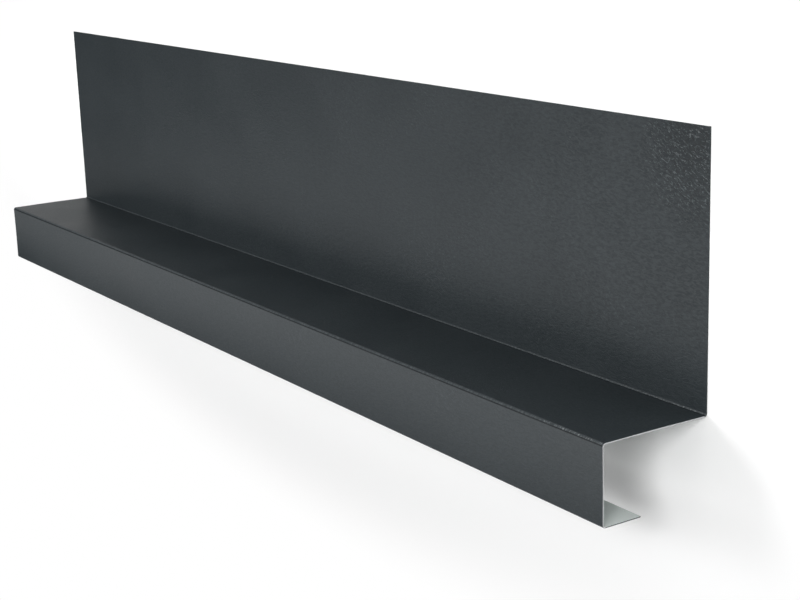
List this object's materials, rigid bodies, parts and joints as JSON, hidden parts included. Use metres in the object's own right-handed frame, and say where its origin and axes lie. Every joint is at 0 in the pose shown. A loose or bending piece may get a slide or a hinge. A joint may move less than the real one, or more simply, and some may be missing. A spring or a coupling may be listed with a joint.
{
  "type": "drip flashing",
  "caption": "Straight strip of coated steel sheet folded into a tall upstand, a shelf, a front face and a short inward return that lets water drip clear.",
  "frame": {"origin": "centre of the bounding box in X and Y, on the floor that the back of the upstand lies on", "axes": "+X along the strip, +Y from the upstand's free edge towards the shelf and the face, +Z away from the back of the upstand, out to the front of the face"},
  "size_m": [0.8, 0.1942, 0.07],
  "materials": {
    "coated_steel": "matt anthracite plastic coat with a fine leather grain, pale grey-green primer on the reverse, bare metal on the cut edges"
  },
  "bodies": {
    "root": {"flashing": "coated_steel"}
  },
  "joints": []
}
